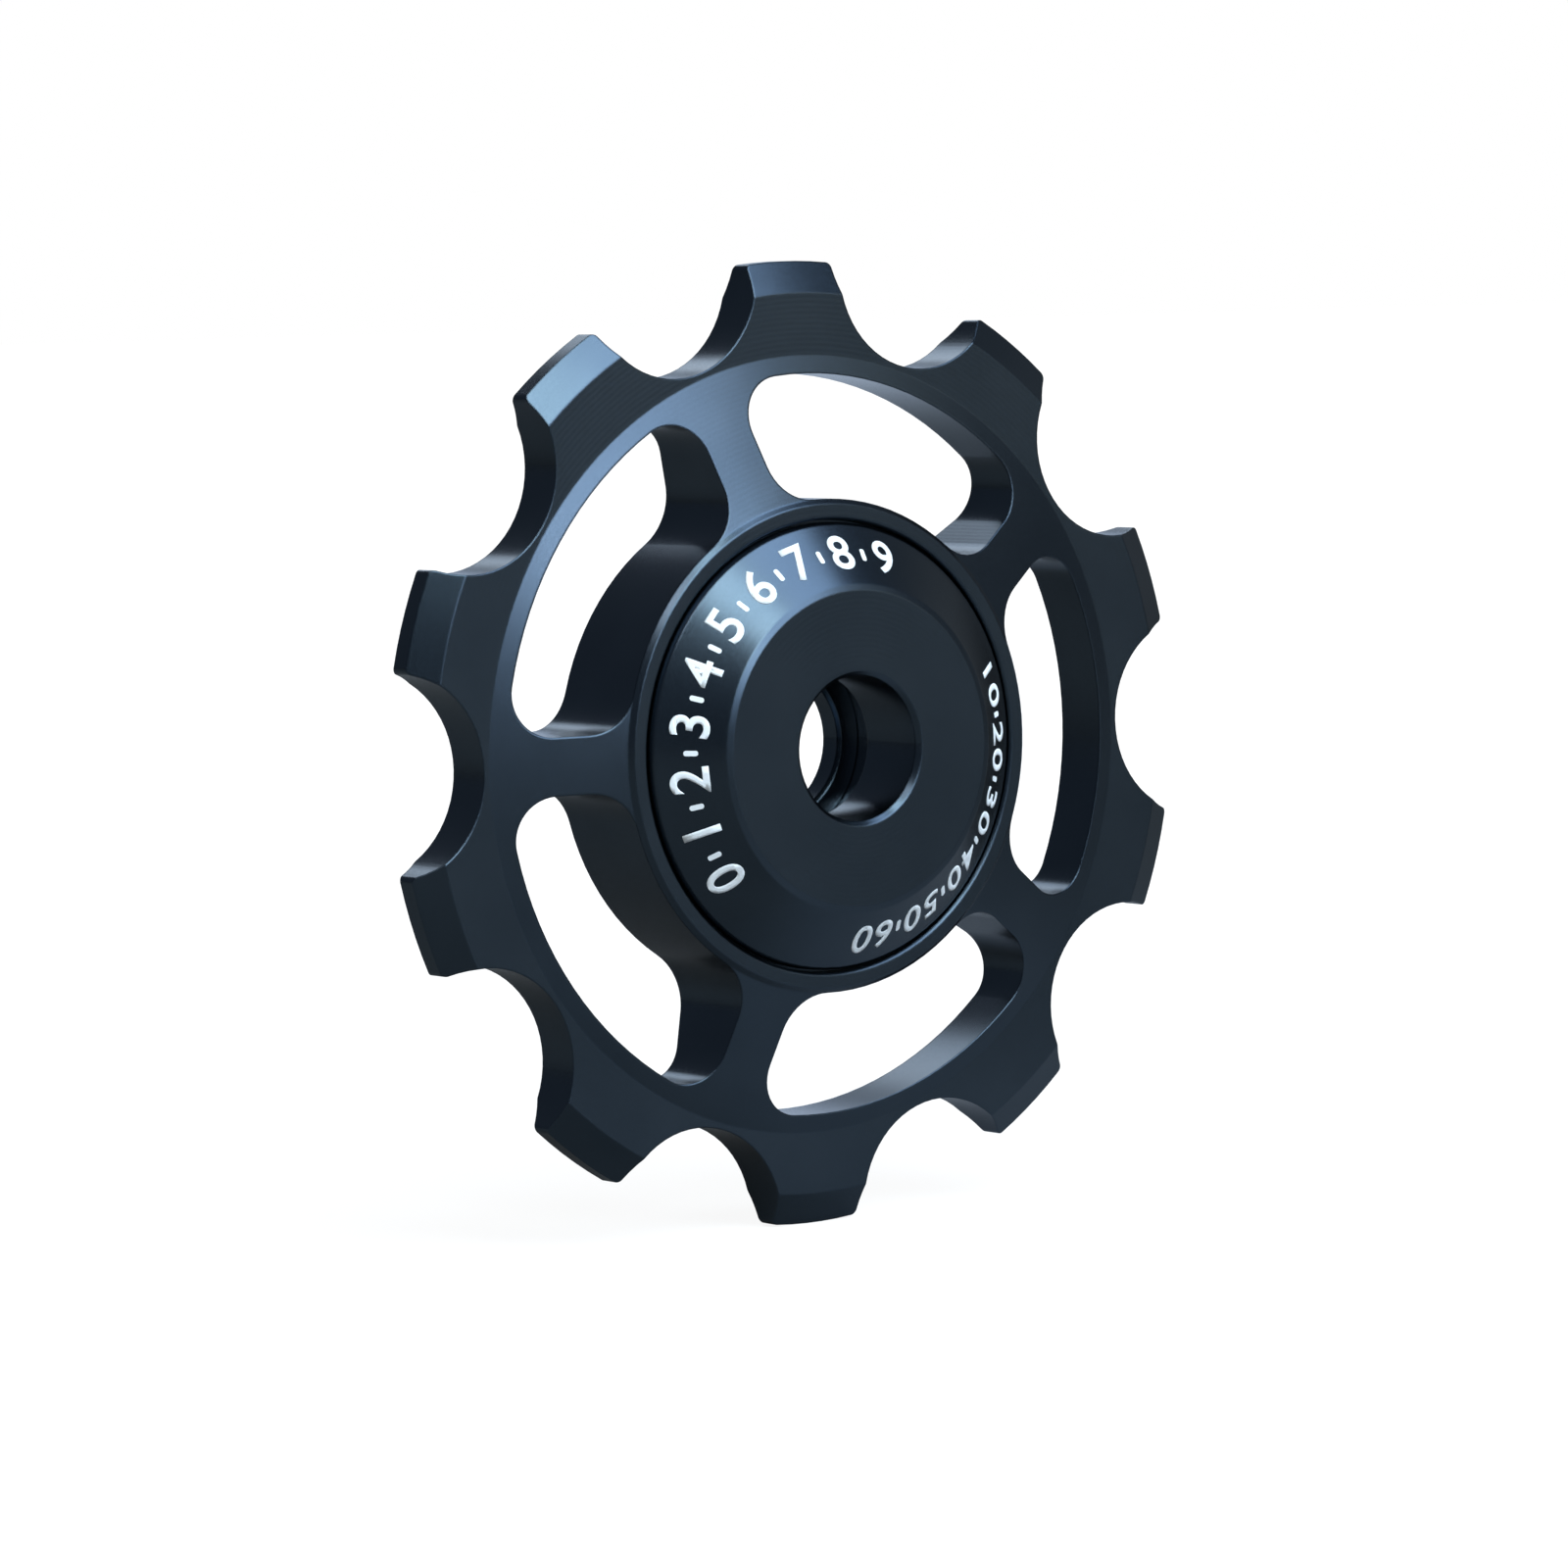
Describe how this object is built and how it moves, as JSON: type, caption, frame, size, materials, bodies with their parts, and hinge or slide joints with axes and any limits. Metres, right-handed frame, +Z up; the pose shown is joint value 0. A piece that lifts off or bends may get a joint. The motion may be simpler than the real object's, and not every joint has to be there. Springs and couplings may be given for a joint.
{
  "type": "derailleur jockey wheel",
  "caption": "Toothed chain pulley for a bicycle derailleur cage: a coned and windowed web on a sealed ball bearing, between coned caps with a hole for the axle bolt.",
  "frame": {"origin": "the middle of the bearing, on the axle's line and halfway through the width", "axes": "+Y along the axle towards the rear cap, the front cap faces -Y, +Z up through a tooth, +X to the right as seen from the front"},
  "size_m": [0.039, 0.009, 0.04],
  "materials": {
    "black_anodised_alloy": "satin black anodised, turned and milled",
    "bearing_steel": "ground and polished",
    "ceramic_ball": "polished silicon nitride",
    "cage_nylon": "moulded natural nylon",
    "seal_rubber": "moulded black nitrile",
    "white_print": "white pad-printed ink"
  },
  "bodies": {
    "hub_core": {"bearing_inner_ring": "bearing_steel", "front_cap": "black_anodised_alloy", "rear_cap": "black_anodised_alloy"},
    "wheel": {"toothed_wheel": "black_anodised_alloy", "bearing_outer_ring": "bearing_steel", "front_seal": "seal_rubber", "rear_seal": "seal_rubber"},
    "cage": {"ball_cage": "cage_nylon"},
    "ball_01_body": {"ball_01": "ceramic_ball"},
    "ball_02_body": {"ball_02": "ceramic_ball"},
    "ball_03_body": {"ball_03": "ceramic_ball"},
    "ball_04_body": {"ball_04": "ceramic_ball"},
    "ball_05_body": {"ball_05": "ceramic_ball"},
    "ball_06_body": {"ball_06": "ceramic_ball"},
    "ball_07_body": {"ball_07": "ceramic_ball"},
    "ball_08_body": {"ball_08": "ceramic_ball"},
    "ball_09_body": {"ball_09": "ceramic_ball"},
    "ball_10_body": {"ball_10": "ceramic_ball"},
    "ball_11_body": {"ball_11": "ceramic_ball"}
  },
  "joints": [
    {"name": "wheel_spin", "type": "hinge", "parent": "hub_core", "child": "wheel", "pos_m": [0, 0, 0], "axis": [0, 1, 0], "continuous": true},
    {"name": "cage_orbit", "type": "hinge", "parent": "hub_core", "child": "cage", "pos_m": [0, 0, 0], "axis": [0, 1, 0], "continuous": true},
    {"name": "ball_01_spin", "type": "hinge", "parent": "cage", "child": "ball_01_body", "pos_m": [0, 0, 0.0055], "axis": [0, 1, 0], "continuous": true},
    {"name": "ball_02_spin", "type": "hinge", "parent": "cage", "child": "ball_02_body", "pos_m": [0.00297, 0, 0.00463], "axis": [0, 1, 0], "continuous": true},
    {"name": "ball_03_spin", "type": "hinge", "parent": "cage", "child": "ball_03_body", "pos_m": [0.005, 0, 0.00228], "axis": [0, 1, 0], "continuous": true},
    {"name": "ball_04_spin", "type": "hinge", "parent": "cage", "child": "ball_04_body", "pos_m": [0.00544, 0, -0.00078], "axis": [0, 1, 0], "continuous": true},
    {"name": "ball_05_spin", "type": "hinge", "parent": "cage", "child": "ball_05_body", "pos_m": [0.00416, 0, -0.0036], "axis": [0, 1, 0], "continuous": true},
    {"name": "ball_06_spin", "type": "hinge", "parent": "cage", "child": "ball_06_body", "pos_m": [0.00155, 0, -0.00528], "axis": [0, 1, 0], "continuous": true},
    {"name": "ball_07_spin", "type": "hinge", "parent": "cage", "child": "ball_07_body", "pos_m": [-0.00155, 0, -0.00528], "axis": [0, 1, 0], "continuous": true},
    {"name": "ball_08_spin", "type": "hinge", "parent": "cage", "child": "ball_08_body", "pos_m": [-0.00416, 0, -0.0036], "axis": [0, 1, 0], "continuous": true},
    {"name": "ball_09_spin", "type": "hinge", "parent": "cage", "child": "ball_09_body", "pos_m": [-0.00544, 0, -0.00078], "axis": [0, 1, 0], "continuous": true},
    {"name": "ball_10_spin", "type": "hinge", "parent": "cage", "child": "ball_10_body", "pos_m": [-0.005, 0, 0.00228], "axis": [0, 1, 0], "continuous": true},
    {"name": "ball_11_spin", "type": "hinge", "parent": "cage", "child": "ball_11_body", "pos_m": [-0.00297, 0, 0.00463], "axis": [0, 1, 0], "continuous": true}
  ],
  "couplings": [
    {"joint": "cage_orbit", "follows": "wheel_spin", "ratio": 0.57218},
    {"joint": "ball_01_spin", "follows": "wheel_spin", "ratio": 3.3913},
    {"joint": "ball_02_spin", "follows": "wheel_spin", "ratio": 3.3913},
    {"joint": "ball_03_spin", "follows": "wheel_spin", "ratio": 3.3913},
    {"joint": "ball_04_spin", "follows": "wheel_spin", "ratio": 3.3913},
    {"joint": "ball_05_spin", "follows": "wheel_spin", "ratio": 3.3913},
    {"joint": "ball_06_spin", "follows": "wheel_spin", "ratio": 3.3913},
    {"joint": "ball_07_spin", "follows": "wheel_spin", "ratio": 3.3913},
    {"joint": "ball_08_spin", "follows": "wheel_spin", "ratio": 3.3913},
    {"joint": "ball_09_spin", "follows": "wheel_spin", "ratio": 3.3913},
    {"joint": "ball_10_spin", "follows": "wheel_spin", "ratio": 3.3913},
    {"joint": "ball_11_spin", "follows": "wheel_spin", "ratio": 3.3913}
  ]
}
